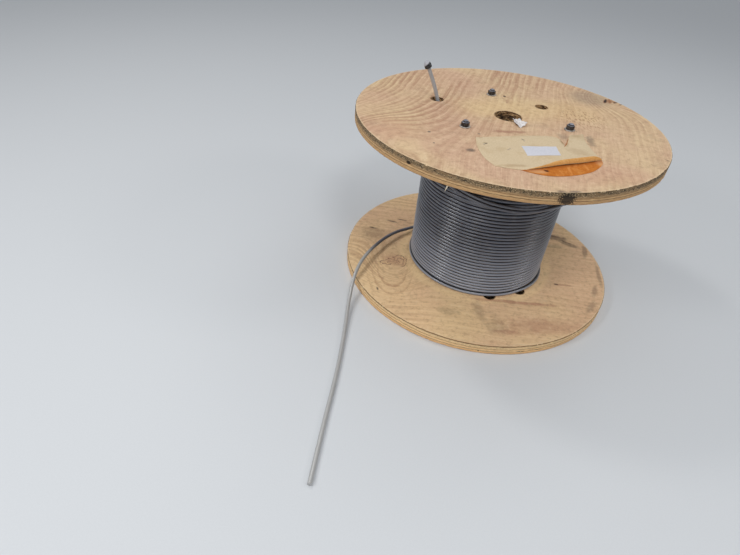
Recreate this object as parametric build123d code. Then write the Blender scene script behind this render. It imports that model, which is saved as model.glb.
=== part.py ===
from build123d import *
import math
import os

# A wooden cable drum standing on its end: two round plywood flanges bolted over the ends
# of a barrel, with grey cable wound between them. The cable's inner end stands up through
# the start hole of the upper flange. Its outer end leaves the lowest turn, crosses the
# lower flange and lies on the floor. A paper pouch and a paper scrap lie on the top face.
# Millimetres. The origin is on the drum's axis at the floor, +Z is up.

# Flanges
flange_diameter = 610.0
flange_thickness = 22.0
traverse = 320.0
arbor_diameter = 54.0
drive_hole_diameter = 26.0
drive_hole_radius = 108.0
drive_hole_angle = 41.0
start_hole_diameter = 27.0
upper_start_hole_angle = 156.5
lower_start_hole_angles = (-83.0, -55.0)

# Barrel, a tube whose ends sit in a round groove in each flange
barrel_diameter = 280.0
barrel_wall = 10.0
barrel_groove_depth = 6.0
seat_gap = 0.3

# Bolts with a round head let into the underside, a washer and a nut on top, each nut
# turned its own way
nut_turns = (17, 34, 51)
bolt_count = len(nut_turns)
bolt_first_angle = 98.8
bolt_axis_to_barrel = 10.0
bolt_diameter = 9.5
bolt_hole_gap = 0.5
bolt_head_diameter = 22.0
bolt_head_height = 5.0
head_recess_gap = 1.5
bolt_end_length = 2.5
washer_diameter = 20.6
washer_thickness = 1.7
washer_bore_gap = 0.4
nut_across_flats = 14.3
nut_height = 8.3
nut_bore_gap = 0.05

# Cable and its winding: two full layers, a third over the upper turns alone, and a slack
# lowest turn, which ends where the outer end leaves it
cable_diameter = 7.6
groove_depth = 1.9
third_layer_turns = 14
third_layer_end_turns = 2
slack_stand_off = 3.2
slack_turn_end_angle = 128.0
slack_turn_gap_angle = 22.0

# The outer end's route from the slack turn over the lower flange to the floor
tail_route = [
    (-94.7, 121.0, 26.0),
    (-150, 77.8, 26),
    (-205, 30, 38),
    (-252, -48, 39.5),
    (-277, -120, 38),
    (-285, -190, 12),
    (-285, -290, 3.9),
    (-289, -398, 3.9),
    (-299, -505, 3.9),
    (-306, -610, 3.9),
]

# The inner end's route from the winding's top up through the start hole
inner_end_route = [
    (-136, 60.5, 342.9),
    (-145, 60.9, 378),
    (-167.5, 61.5, 427),
]
end_cap_diameter = 13.0
end_cap_length = 13.0
end_cap_depth = 9.0
end_cap_gap = 0.2

# Paper on the top face. The pouch is open along a crease from the first of its corners to
# the last: its back sheet reaches past the crease, and its front sheet is folded up there.
pouch_corners = [
    (135, -170), (127, -105), (132, -63), (106, -64), (91, -108), (72, -74),
    (26, -87), (-76, -106), (-79, -168), (-58, -232), (-18, -237),
]
pouch_thickness = 2.4
pouch_sheet_thickness = 0.8
pouch_lip_reach = 38.0
pouch_fold_height = 13.0
pouch_fold_lean = 20.0
scrap_corners = [(4, -28.5), (17, -23), (26, -14), (29, -38), (26, -49), (11, -59)]
scrap_thickness = 0.6

# Worked out from the dimensions above
barrel_radius = barrel_diameter / 2
bolt_circle_radius = barrel_radius - barrel_wall - bolt_axis_to_barrel
cable_radius = cable_diameter / 2
layer_rise = cable_diameter * math.sqrt(3) / 2
first_layer_radius = barrel_radius + cable_diameter
second_layer_radius = first_layer_radius + layer_rise
third_layer_radius = second_layer_radius + layer_rise
winding_turns = int((traverse - 2 * seat_gap) // cable_diameter)
upper_flange_base = flange_thickness + traverse
overall_height = upper_flange_base + flange_thickness
start_hole_radius = barrel_radius + start_hole_diameter / 2 - 1.5
washer_top = overall_height + washer_thickness
nut_top = washer_top + nut_height


def disc(diameter, height, base=0.0, x=0.0, y=0.0):
    """A round solid standing on its base at (x, y)."""
    shape = Cylinder(diameter / 2, height, align=(Align.CENTER, Align.CENTER, Align.MIN))
    return Pos(x, y, base) * shape


def on_circle(radius, angle):
    """The x and y of a point at an angle in degrees from +X."""
    return radius * math.cos(math.radians(angle)), radius * math.sin(math.radians(angle))


def bolt_places():
    """The x and y of each bolt's axis."""
    step = 360 / bolt_count
    return [on_circle(bolt_circle_radius, bolt_first_angle + step * i) for i in range(bolt_count)]


def plain_flange(base, groove_base):
    """A flange with the holes that both flanges have and the groove for the barrel."""
    flange = disc(flange_diameter, flange_thickness, base) - disc(arbor_diameter, flange_thickness, base)
    flange -= disc(drive_hole_diameter, flange_thickness, base, *on_circle(drive_hole_radius, drive_hole_angle))
    for x, y in bolt_places():
        flange -= disc(bolt_diameter + 2 * bolt_hole_gap, flange_thickness, base, x, y)
    groove = disc(barrel_diameter + 2 * seat_gap, barrel_groove_depth, groove_base)
    groove -= disc(barrel_diameter - 2 * barrel_wall - 2 * seat_gap, barrel_groove_depth, groove_base)
    return flange - groove


def lower_flange():
    """The flange that the drum stands on, with its bolt head recesses and start holes."""
    flange = plain_flange(0, flange_thickness - barrel_groove_depth)
    for x, y in bolt_places():
        flange -= disc(bolt_head_diameter + 2 * head_recess_gap, bolt_head_height + head_recess_gap, 0, x, y)
    for angle in lower_start_hole_angles:
        flange -= disc(start_hole_diameter, flange_thickness, 0, *on_circle(start_hole_radius, angle))
    return flange


def upper_flange():
    """The flange on top, with the start hole that the cable's inner end comes up through."""
    flange = plain_flange(upper_flange_base, upper_flange_base)
    hole_x, hole_y = on_circle(start_hole_radius, upper_start_hole_angle)
    return flange - disc(start_hole_diameter, flange_thickness, upper_flange_base, hole_x, hole_y)


def barrel():
    """The tube between the flanges, from groove to groove."""
    base = flange_thickness - barrel_groove_depth
    length = traverse + 2 * barrel_groove_depth
    return disc(barrel_diameter, length, base) - disc(barrel_diameter - 2 * barrel_wall, length, base)


def bolt(x, y):
    """A bolt from its recess in the underside to just above its nut."""
    shank_base = head_recess_gap + bolt_head_height
    head = disc(bolt_head_diameter, bolt_head_height, head_recess_gap, x, y)
    return head + disc(bolt_diameter, nut_top + bolt_end_length - shank_base, shank_base, x, y)


def washers():
    """A washer on the top face at each bolt."""
    bore = bolt_diameter + 2 * washer_bore_gap
    return Compound(children=[
        disc(washer_diameter, washer_thickness, overall_height, x, y)
        - disc(bore, washer_thickness, overall_height, x, y)
        for x, y in bolt_places()
    ])


def nuts():
    """A hexagonal nut on each washer, each turned its own way."""
    blank = extrude(RegularPolygon(nut_across_flats / 2, 6, major_radius=False), nut_height)
    nut = blank - disc(bolt_diameter + 2 * nut_bore_gap, nut_height)
    return Compound(children=[
        Pos(x, y, washer_top) * Rot(0, 0, turn) * nut
        for (x, y), turn in zip(bolt_places(), nut_turns)
    ])


def ridges(crest, base, count):
    """The outline of a few turns that lie side by side: a crest for each, between grooves."""
    outline = [(crest - groove_depth, base)]
    for turn in range(count):
        low = base + turn * cable_diameter
        outline += [(crest, low + cable_radius), (crest - groove_depth, low + cable_diameter)]
    return outline


def winding():
    """The wound cable as one turned solid, plain between its ends. Turns show where a layer
    ends: the slack turn at the foot and the lowest turns of the third layer."""
    base = flange_thickness + (traverse - winding_turns * cable_diameter) / 2
    top = base + winding_turns * cable_diameter
    slack_top, third_base = base + cable_diameter, top - third_layer_turns * cable_diameter
    third_plain_base = third_base + (third_layer_end_turns + 0.5) * cable_diameter
    outline = [(barrel_radius + seat_gap, base)]
    outline += ridges(second_layer_radius + slack_stand_off, base, 1)
    outline += [(second_layer_radius, slack_top), (second_layer_radius, third_base)]
    outline += ridges(third_layer_radius, third_base, third_layer_end_turns)
    outline += [(third_layer_radius, third_plain_base), (third_layer_radius, top)]
    outline.append((barrel_radius + seat_gap, top))
    turned = revolve(Plane.XZ * make_face(Polyline(*outline, close=True)), Axis.Z)
    gap_width = second_layer_radius + slack_stand_off - first_layer_radius
    gap = Pos(first_layer_radius + gap_width / 2, (base + slack_top) / 2) * Rectangle(gap_width, cable_diameter)
    gap = revolve(Plane.XZ * gap, Axis.Z, slack_turn_gap_angle)
    return turned - Rot(0, 0, slack_turn_end_angle) * gap


def bend_radii(points):
    """The arc at each corner of a route: 0.45 of its shorter run over the tangent of half its turn."""
    radii = []
    for before, corner, after in zip(points, points[1:], points[2:]):
        into, out = Vector(corner) - Vector(before), Vector(after) - Vector(corner)
        half_turn = math.radians(into.get_angle(out)) / 2
        radii.append(0.45 * min(into.length, out.length) / math.tan(half_turn))
    return radii


def cable_along(name, points):
    """A round cable along straight runs joined by tangent arcs."""
    radii = bend_radii(points)
    path = FilletPolyline(*points, radius=radii)
    tube = sweep(Plane(path @ 0, z_dir=path % 0) * Circle(cable_radius), path)
    section = math.pi * cable_radius**2
    print(name, "length", round(path.length, 1), "volume over section times length",
          round(tube.volume / (section * path.length), 4), "radii", [round(r) for r in radii])
    return tube


def end_cap():
    """The cap over the tip of the cable's inner end."""
    tip, before = Vector(inner_end_route[-1]), Vector(inner_end_route[-2])
    along = (tip - before).normalized()
    frame = Plane(tip - along * end_cap_depth, z_dir=along)
    standing = (Align.CENTER, Align.CENTER, Align.MIN)
    cap = Cylinder(end_cap_diameter / 2, end_cap_length, align=standing)
    return frame * (cap - Cylinder(cable_radius + end_cap_gap, end_cap_depth, align=standing))


def sheet_along(crease, reach):
    """A round lip of paper that reaches out from a crease to one side of it."""
    rim = SagittaArc(crease @ 0, crease @ 1, reach)
    return extrude(make_face(crease.edges() + rim.edges()), pouch_sheet_thickness, dir=(0, 0, 1))


def document_pouch():
    """The pouch: its filled body, the lip of its back sheet flat on the flange, and the lip
    of its front sheet, which stands up from the crease and leans back over the body."""
    body = extrude(make_face(Polyline(*pouch_corners, close=True)), pouch_thickness, dir=(0, 0, 1))
    crease = Line(pouch_corners[-1], pouch_corners[0])
    back_lip = sheet_along(crease, -pouch_lip_reach)
    on_crease = Plane(crease @ 0, x_dir=crease % 0, z_dir=(0, 0, 1))
    front_lip = sheet_along(Line((0, 0), (crease.length, 0)), pouch_fold_height)
    front_lip = on_crease * Rot(90 - pouch_fold_lean, 0, 0) * front_lip
    return Pos(0, 0, overall_height) * (body + back_lip + front_lip)


def paper_scrap():
    """A torn scrap of paper beside the arbor hole."""
    return Pos(0, 0, overall_height) * extrude(make_face(Polyline(*scrap_corners, close=True)), scrap_thickness)


parts = {
    "flange_lower": lower_flange(),
    "flange_upper": upper_flange(),
    "barrel": barrel(),
    "washers": washers(),
    "nuts": nuts(),
    "cable_winding": winding(),
    "cable_tail": cable_along("cable_tail", tail_route),
    "cable_inner_end": cable_along("cable_inner_end", inner_end_route),
    "inner_end_cap": end_cap(),
    "document_pouch": document_pouch(),
    "paper_scrap": paper_scrap(),
}
for number, (bolt_x, bolt_y) in enumerate(bolt_places(), start=1):
    parts[f"bolt_{number}"] = bolt(bolt_x, bolt_y)

os.makedirs("parts", exist_ok=True)
for name, piece in parts.items():
    export_step(piece, f"parts/{name}.step")
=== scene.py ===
import math

import bmesh
import bpy
from mathutils import Matrix, Vector, noise


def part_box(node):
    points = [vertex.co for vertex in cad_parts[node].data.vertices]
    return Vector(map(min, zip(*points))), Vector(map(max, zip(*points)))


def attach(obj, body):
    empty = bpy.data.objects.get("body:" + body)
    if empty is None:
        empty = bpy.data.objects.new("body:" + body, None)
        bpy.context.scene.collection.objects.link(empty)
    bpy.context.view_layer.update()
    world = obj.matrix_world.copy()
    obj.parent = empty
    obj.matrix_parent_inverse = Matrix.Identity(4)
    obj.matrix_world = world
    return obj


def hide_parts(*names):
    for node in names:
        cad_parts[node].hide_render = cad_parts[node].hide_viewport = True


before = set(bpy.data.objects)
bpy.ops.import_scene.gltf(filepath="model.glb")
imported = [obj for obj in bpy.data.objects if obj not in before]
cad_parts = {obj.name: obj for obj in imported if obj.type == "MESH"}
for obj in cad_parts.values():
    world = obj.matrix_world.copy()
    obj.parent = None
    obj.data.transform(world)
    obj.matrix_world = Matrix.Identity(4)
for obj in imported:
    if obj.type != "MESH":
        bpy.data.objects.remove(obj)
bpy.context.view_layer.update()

# Metres throughout. The drum's axis is Z and the floor is at zero.
MM = 0.001
FULL_TURN = 2 * math.pi
BODY = "root"

# The photograph's camera
CAMERA_PLACE = (-0.2444, -0.9973, 0.7250)
CAMERA_TILT = math.radians(38.94)
CAMERA_ROLL = math.radians(5.33)
CAMERA_LENS, SENSOR_WIDTH = 24.46, 36

# The sky's strength round the horizon and overhead, and the tint of the warmer lamps
SKY_AROUND, SKY_OVERHEAD = 0.19, 0.72
WARM = (1.0, 0.98, 0.95)

# Flanges and barrel, from the fixed frame where it has their sizes
FLANGE_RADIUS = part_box("flange_upper")[1].x
FLANGE_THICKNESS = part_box("flange_lower")[1].z
UPPER_BASE, TOP_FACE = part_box("flange_upper")[0].z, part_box("flange_upper")[1].z
BARREL_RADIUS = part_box("barrel")[1].x
BARREL_WALL = 10 * MM
BARREL_GROOVE_DEPTH = 6 * MM
SEAT_GAP = 0.3 * MM
ARBOR_RADIUS = 27 * MM
DRIVE_HOLE_RADIUS, DRIVE_HOLE_REACH, DRIVE_HOLE_ANGLE = 13 * MM, 108 * MM, 41.0
START_HOLE_RADIUS, START_HOLE_REACH = 13.5 * MM, 152 * MM
UPPER_START_HOLE_ANGLE = 156.5
LOWER_START_HOLE_ANGLES = (-83.0, -55.0)
EDGE_STEPS = 16
ARRIS_WORN_BY = 0.9 * MM

# Bolts, washers and nuts
BOLT_REACH = 120 * MM
BOLT_ANGLES = (98.8, 218.8, 338.8)
NUT_TURNS = (17, 34, 51)
BOLT_RADIUS, BOLT_HOLE_RADIUS = 4.75 * MM, 5.25 * MM
BOLT_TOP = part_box("bolt_1")[1].z
HEAD_BASE, HEAD_TOP, HEAD_RADIUS = 1.5 * MM, 6.5 * MM, 11 * MM
RECESS_RADIUS, RECESS_DEPTH = 12.5 * MM, 6.5 * MM
WASHER_TOP, WASHER_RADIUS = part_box("washers")[1].z, 10.3 * MM
NUT_TOP, NUT_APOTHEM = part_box("nuts")[1].z, 7.15 * MM

# The cable: its layers, and the angles in degrees from +X at which its last turns change.
# Angles rise as the cable winds on, from the left side round the front to the right.
# LAYER_EDGE and the crossings are stops of an angle and a height or reach in millimetres.
# The second layer's lowest turns are lifted at one angle, and the third layer flares at another.
CABLE_RADIUS = 3.8 * MM
PITCH = 7.6 * MM
WINDING_BASE, WINDING_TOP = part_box("cable_winding")[0].z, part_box("cable_winding")[1].z
SECOND_LAYER, THIRD_LAYER, SLACK_LAYER = 150.4 * MM, 157.0 * MM, 153.6 * MM
LAYER_EDGE = ((209, 245), (250, 245), (270, 241.5), (306, 236), (324, 231), (346, 204), (500, 34), (512, 26))
CROSSING_HEIGHTS = ((188, 284), (215, 270), (232, 262), (245, 254), (262, 246), (276, 240.5), (304, 233))
CROSSING_REACHES = ((188, 156), (206, 163.2), (258, 163.2), (282, 158.6), (304, 153))
CROSSING_STEP = 2
SLANT_FROM, SLANT_TO = 324, 512
TAIL_FROM = 848
CLIMB_AT, CLIMB_SHARE = 110, 0.15
LIFT_AT, LIFT_WIDTH, LIFT, LIFTED_TURNS = 222, 24, 2.4 * MM, 1.4
FLARE_AT, FLARE_WIDTH, FLARE, FLARE_FADE = 326, 17, 3 * MM, 500
STEPS_TO_A_TURN = 96

# The free stretches of the cable, as they are routed in the frame
TAIL_ROUTE = [
    (-0.0947, 0.1210, 0.0260),
    (-0.1500, 0.0778, 0.0320),
    (-0.2050, 0.0300, 0.0385),
    (-0.2520, -0.0480, 0.0395),
    (-0.2770, -0.1200, 0.0380),
    (-0.2850, -0.1900, 0.0120),
    (-0.2850, -0.2900, 0.0039),
    (-0.2890, -0.3980, 0.0039),
    (-0.2990, -0.5050, 0.0039),
    (-0.3060, -0.6100, 0.0039),
]
INNER_END_ROUTE = [
    (-0.1325, 0.0605, 0.3429),
    (-0.1410, 0.0609, 0.3780),
    (-0.1690, 0.0615, 0.4300),
]
CAP_RADIUS, CAP_BORE, CAP_LENGTH, CAP_DEPTH = 7.2 * MM, 4.0 * MM, 14.5 * MM, 6.5 * MM

# The pouch, from its left back corner round the sheet. It is open along the crease.
POUCH_BACK = [
    (-0.0775, -0.1215), (-0.0350, -0.1085), (0.0200, -0.0925), (0.0660, -0.0850), (0.0810, -0.0960),
    (0.0850, -0.1250), (0.0955, -0.1010), (0.1050, -0.0725), (0.1210, -0.0650), (0.1340, -0.0600),
]
POUCH_LEFT = [
    (-0.0775, -0.1215), (-0.0795, -0.1500), (-0.0775, -0.1790), (-0.0710, -0.2070), (-0.0580, -0.2320),
]
POUCH_RIGHT = [
    (0.1340, -0.0600), (0.1290, -0.0890), (0.1290, -0.1130), (0.1320, -0.1430), (0.1350, -0.1720),
]
POUCH_CREASE = [
    (-0.0580, -0.2320), (-0.0180, -0.2375), (0.0160, -0.2275), (0.0530, -0.2105), (0.0910, -0.1950),
    (0.1350, -0.1720),
]
POUCH_LIP = [
    (-0.0180, -0.2370), (0.0040, -0.2465), (0.0340, -0.2500), (0.0710, -0.2400), (0.1070, -0.2190),
    (0.1320, -0.1880), (0.1350, -0.1700),
]
CREASE_DIRECTION = Vector((0.915, 0.404))
LIP_STARTS_AT = 0.27
LIP_HEIGHT = 7.5 * MM
PAPER_THICKNESS, LABEL_THICKNESS, SCRAP_THICKNESS = 0.35 * MM, 0.15 * MM, 0.25 * MM
LABEL_CORNERS = ((0.0000, -0.1465), (0.0635, -0.1364), (0.0035, -0.1861), (0.0628, -0.1754))
STAPLES = ((-0.0250, -0.1650, 48), (0.0080, -0.1200, -62), (-0.0640, -0.1500, 40))
STAPLE_HALF_LENGTH, STAPLE_WIRE_RADIUS = 4.5 * MM, 0.4 * MM
SCRAP_CORNERS = ((0.0030, -0.0262), (0.0215, -0.0130), (0.0120, -0.0585), (0.0290, -0.0440))


def at(radius, angle):
    """The x and y of a point at an angle in degrees from +X."""
    return radius * math.cos(math.radians(angle)), radius * math.sin(math.radians(angle))


def between_stops(stops, place):
    """The value at a place on a line through stops of (place, value)."""
    for (start, low), (end, high) in zip(stops, stops[1:]):
        if place <= end:
            return low + (high - low) * max(0, place - start) / (end - start)
    return stops[-1][1]


def bell(offset, width):
    """One in the middle, falling smoothly to nothing a few widths away."""
    return math.exp(-((offset / width) ** 2))


def rough(x, y, z):
    """Smooth noise about zero at a point in space."""
    return noise.noise(Vector((x, y, z)))


# Node trees

class Value:
    """A socket in a node tree. Sums, products and quotients of it add Math nodes."""

    def __init__(self, tree, socket):
        self.tree, self.socket = tree, socket

    def math(self, operation, *others):
        inputs = dict(enumerate((self, *others)))
        return new_node(self.tree, "ShaderNodeMath", inputs, operation=operation)

    def __add__(self, other):
        return self.math("ADD", other)

    def __sub__(self, other):
        return self.math("SUBTRACT", other)

    def __rsub__(self, other):
        return self.math("MULTIPLY_ADD", -1, other)

    def __mul__(self, other):
        return self.math("MULTIPLY", other)

    def __truediv__(self, other):
        return self.math("DIVIDE", other)

    __radd__, __rmul__ = __add__, __mul__

    def between(self, low, high):
        """From 0 at low to 1 at high, smoothly. High may be the smaller."""
        inputs = {"Value": self, "From Min": low, "From Max": high}
        return new_node(self.tree, "ShaderNodeMapRange", inputs, interpolation_type="SMOOTHSTEP")


def feed(tree, socket, value):
    """Links a socket to a value, or sets it to a number or a colour."""
    if isinstance(value, Value):
        tree.links.new(value.socket, socket)
    else:
        socket.default_value = value


def new_node(tree, kind, inputs, output=0, stops=None, **settings):
    """A new node's output. Its settings go first, then the values or links of its sockets."""
    node = tree.nodes.new(kind)
    for setting, value in settings.items():
        setattr(node, setting, value)
    if stops:
        elements = node.color_ramp.elements
        while len(elements) < len(stops):
            elements.new(0.5)
        for element, (position, colour) in zip(elements, stops):
            element.position, element.color = position, colour
    for name, value in inputs.items():
        feed(tree, node.inputs[name], value)
    return Value(tree, node.outputs[output])


def tone(red, green, blue):
    """A shader's colour from its screen values, 0 to 255."""
    return (*[((value / 255 + 0.055) / 1.055) ** 2.4 for value in (red, green, blue)], 1)


class Finish:
    """A material whose varying inputs are written as expressions. Its colours are values, or
    screen colours of three numbers from 0 to 255."""

    def __init__(self, name, **constants):
        self.material = bpy.data.materials.new(name)
        self.material.use_nodes = True
        self.tree = self.material.node_tree
        self.shader = self.tree.nodes["Principled BSDF"]
        for constant, value in constants.items():
            self.shader.inputs[constant.replace("_", " ").title().replace("Ior", "IOR")].default_value = value
        self.place = self.node("TexCoord", {}, output="Object")
        self.x, self.y, self.z = [self.node("SeparateXYZ", {0: self.place}, output=axis) for axis in range(3)]

    def node(self, kind, inputs, output=0, **settings):
        return new_node(self.tree, "ShaderNode" + kind, inputs, output, **settings)

    def noise(self, scale, detail=2.0, roughness=0.5, where=None):
        """Noise from 0 to 1, mostly near a half."""
        inputs = {"Vector": where or self.place, "Scale": scale, "Detail": detail, "Roughness": roughness}
        return self.node("TexNoise", inputs)

    def stretched(self, x, y, z, detail=2.0, roughness=0.5):
        """Noise in a space of its own, such as one drawn out along a grain."""
        return self.noise(1.0, detail, roughness, self.node("CombineXYZ", {0: x, 1: y, 2: z}))

    def ramp(self, value, stops):
        return self.node("ValToRGB", {0: value}, stops=[(place, tone(*colour)) for place, colour in stops])

    def mix(self, factor, *colours):
        """Two colours, mixed by a factor."""
        first, second = [colour if isinstance(colour, Value) else tone(*colour) for colour in colours]
        return self.node("Mix", {0: factor, 6: first, 7: second}, output=2, data_type="RGBA")

    def coated(self, colour, *coats):
        """A colour under coats of (share, colour), laid one over another."""
        for share, coat in coats:
            colour = self.mix(share, colour, coat)
        return colour

    def facing(self, axis):
        """How far the surface itself faces along X, Y or Z, from -1 to 1."""
        outwards = self.node("TexCoord", {}, output="Normal")
        return self.node("SeparateXYZ", {0: outwards}, output=axis)

    def reach_from(self, x=0.0, y=0.0):
        """The distance in plan from a point."""
        across, along = self.x - x, self.y - y
        return (across * across + along * along).math("SQRT")

    def spot(self, x, y, reach, reach_along=None, turn=0.0):
        """From 1 at a place on the face to 0 a few reaches away. Its second reach lies at a
        turn in degrees from Y."""
        right, up = at(1, turn)
        across = ((self.x - x) * right + (self.y - y) * up) / reach
        along = ((self.y - y) * right - (self.x - x) * up) / (reach_along or reach)
        return ((across * across + along * along) * -1).math("EXPONENT")

    def wear(self, colour, roughness=None, height=None, relief=0.2 * MM):
        """Feeds the shader with what varies over the surface."""
        feed(self.tree, self.shader.inputs["Base Color"], colour)
        if roughness is not None:
            feed(self.tree, self.shader.inputs["Roughness"], roughness)
        if height is not None:
            bump = self.node("Bump", {"Height": height, "Distance": relief, "Strength": 1.0})
            feed(self.tree, self.shader.inputs["Normal"], bump)
        return self.material


class Growth:
    """A Geometry Nodes tree with named inputs, which ends in real and painted geometry."""

    def __init__(self, name, **inputs):
        self.tree = bpy.data.node_groups.new(name, "GeometryNodeTree")
        self.identifiers = {}
        self.tree.interface.new_socket("Geometry", in_out="INPUT", socket_type="NodeSocketGeometry")
        for label, kind in inputs.items():
            socket = self.tree.interface.new_socket(label, in_out="INPUT", socket_type="NodeSocket" + kind)
            self.identifiers[label] = socket.identifier
        self.tree.interface.new_socket("Result", in_out="OUTPUT", socket_type="NodeSocketGeometry")
        self.start, self.end = self.tree.nodes.new("NodeGroupInput"), self.tree.nodes.new("NodeGroupOutput")

    def given(self, label):
        return Value(self.tree, self.start.outputs[label])

    def node(self, kind, inputs, output=0, **settings):
        return new_node(self.tree, kind, inputs, output, **settings)

    def ends_in(self, geometry):
        real = self.node("GeometryNodeRealizeInstances", {"Geometry": geometry})
        painted = self.node("GeometryNodeSetMaterial", {"Geometry": real, "Material": self.given("Material")})
        self.tree.links.new(painted.socket, self.end.inputs[0])

    def grown(self, name, holder, **values):
        """The plain mesh that the tree makes of a holder, which is removed."""
        modifier = holder.modifiers.new("Growth", "NODES")
        modifier.node_group = self.tree
        for label, value in values.items():
            modifier[self.identifiers[label]] = value
        mesh = evaluated_mesh(holder)
        bpy.data.objects.remove(holder)
        return new_piece(name, mesh)


# Meshes

def new_piece(name, mesh, *materials):
    """An object at the origin that holds a mesh."""
    piece = bpy.data.objects.new(name, mesh)
    bpy.context.scene.collection.objects.link(piece)
    for material in materials:
        piece.data.materials.append(material)
    return piece


def finished_mesh(name, shape):
    mesh = bpy.data.meshes.new(name)
    shape.to_mesh(mesh)
    shape.free()
    return mesh


def shape_to_piece(name, shape, *materials):
    """A finished object from a closed shape, with faces that point outwards."""
    bmesh.ops.recalc_face_normals(shape, faces=shape.faces)
    return new_piece(name, finished_mesh(name, shape), *materials)


def turned(profile, segments, hollow=False, shape_at=None):
    """A closed shape turned round Z. Its profile of (radius, height) starts and ends on flat
    ends, or is a closed loop if it is hollow. shape_at gives other radii and heights at an angle."""
    shape = bmesh.new()
    rings = []
    for radius, height in profile:
        ring = []
        for step in range(segments):
            angle = FULL_TURN * step / segments
            reach, level = shape_at(angle, radius, height) if shape_at else (radius, height)
            ring.append(shape.verts.new((reach * math.cos(angle), reach * math.sin(angle), level)))
        rings.append(ring)
    after_rings = rings[1:] + (rings[:1] if hollow else [])
    for low, high in zip(rings, after_rings):
        bridge(shape, low, high)
    if not hollow:
        shape.faces.new(rings[0][::-1])
        shape.faces.new(rings[-1])
    return shape


def bridge(shape, low, high):
    """A band of faces between two rings of as many corners."""
    for step in range(len(low)):
        after = (step + 1) % len(low)
        shape.faces.new((low[step], low[after], high[after], high[step]))


def evaluated_mesh(piece):
    return bpy.data.meshes.new_from_object(piece.evaluated_get(bpy.context.evaluated_depsgraph_get()))


def settle(piece):
    """Makes a piece's modifiers part of its mesh."""
    mesh = evaluated_mesh(piece)
    piece.modifiers.clear()
    piece.data = mesh


def cut_away(piece, cutter):
    """Cuts one shape out of a piece and removes the cutter."""
    cut = piece.modifiers.new("Cut", "BOOLEAN")
    cut.operation, cut.solver, cut.object = "DIFFERENCE", "EXACT", cutter
    settle(piece)
    bpy.data.objects.remove(cutter)


def together(piece, other):
    """Joins a second mesh into the first piece."""
    joined = bmesh.new()
    joined.from_mesh(piece.data)
    joined.from_mesh(other.data)
    bpy.data.objects.remove(other)
    joined.to_mesh(piece.data)
    joined.free()


def smoothed(piece, turn):
    """Smooth shading on a piece's rounded parts, with edges sharper than a turn kept."""
    piece.data.shade_smooth()
    shape = bmesh.new()
    shape.from_mesh(piece.data)
    for edge in shape.edges:
        edge.smooth = len(edge.link_faces) < 2 or edge.calc_face_angle(0) < math.radians(turn)
    shape.to_mesh(piece.data)
    shape.free()
    return piece


def carried(piece, slot, *nodes):
    """Puts a finished piece on the drum, in place of the nodes that it stands for. Its slot,
    the name of its finish, is not used."""
    if nodes:
        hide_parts(*nodes)
    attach(piece, BODY)
    return piece


def grid_sheet(name, across, down, place, *materials):
    """A sheet of quads, each corner placed by a function of its two shares."""
    shape = bmesh.new()
    rows = [
        [shape.verts.new(place(column / across, row / down)) for column in range(across + 1)]
        for row in range(down + 1)
    ]
    for upper, lower in zip(rows, rows[1:]):
        for column in range(across):
            shape.faces.new((upper[column], lower[column], lower[column + 1], upper[column + 1]))
    return new_piece(name, finished_mesh(name, shape), *materials)


def thicken(piece, thickness, inner=0, rim=0):
    """Gives a sheet its thickness, downwards, with the materials of its inside and its rim."""
    wall = piece.modifiers.new("Thickness", "SOLIDIFY")
    wall.thickness, wall.offset = thickness, -1
    wall.material_offset, wall.material_offset_rim = inner, rim
    settle(piece)
    return smoothed(piece, 60)


def curve_through(name, kind, lines):
    """A curve with one spline of a kind for each line of points."""
    curve = bpy.data.curves.new(name, "CURVE")
    curve.dimensions = "3D"
    for points in lines:
        spline = curve.splines.new(kind)
        spline.points.add(len(points) - 1)
        for point, place in zip(spline.points, points):
            point.co = (*place, 1)
    return curve


def tubes(name, lines, radius, sides, material):
    """Round closed tubes along lines of points, as one plain mesh."""
    growth = Growth("tube_along_lines", Radius="Float", Sides="Int", Material="Material")
    ring = growth.node("GeometryNodeCurvePrimitiveCircle", {
        "Resolution": growth.given("Sides"), "Radius": growth.given("Radius"),
    })
    tube = growth.node("GeometryNodeCurveToMesh", {
        "Curve": growth.given("Geometry"), "Profile Curve": ring, "Fill Caps": True,
    })
    growth.ends_in(growth.node("GeometryNodeSetShadeSmooth", {"Geometry": tube}))
    holder = new_piece(name + "_line", curve_through(name, "POLY", lines))
    return growth.grown(name, holder, Radius=radius, Sides=sides, Material=material)


def copies(name, shape, places, turns, material):
    """Copies of a shape at places in plan, each at its turn in degrees about Z."""
    growth = Growth("copies_on_points", Shape="Object", Material="Material")
    model = growth.node("GeometryNodeObjectInfo", {"Object": growth.given("Shape")}, output="Geometry")
    angle = growth.node("GeometryNodeInputNamedAttribute", {"Name": "turn"}, data_type="FLOAT")
    turn = growth.node("FunctionNodeAxisAngleToRotation", {"Axis": (0, 0, 1), "Angle": angle})
    growth.ends_in(growth.node("GeometryNodeInstanceOnPoints", {
        "Points": growth.given("Geometry"), "Instance": model, "Rotation": turn,
    }))
    mesh = bpy.data.meshes.new(name + "_points")
    mesh.from_pydata([(x, y, 0) for x, y in places], [], [])
    angles = mesh.attributes.new("turn", "FLOAT", "POINT")
    angles.data.foreach_set("value", [math.radians(turn) for turn in turns])
    piece = growth.grown(name, new_piece(name + "_points", mesh), Shape=shape, Material=material)
    bpy.data.objects.remove(shape)
    return piece


# Plywood

def veneer_field(finish, lean, swells):
    """A field whose contours are the veneer's grain lines: straight at a lean from Y, and
    pushed aside by each swell at (x, y, reach across, reach along, push)."""
    field = finish.x * math.cos(lean) - finish.y * math.sin(lean)
    for x, y, across, along, push in swells:
        field = field + finish.spot(x, y, across, along) * push
    return field + (finish.noise(6.0) - 0.5) * (22 * MM)


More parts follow.
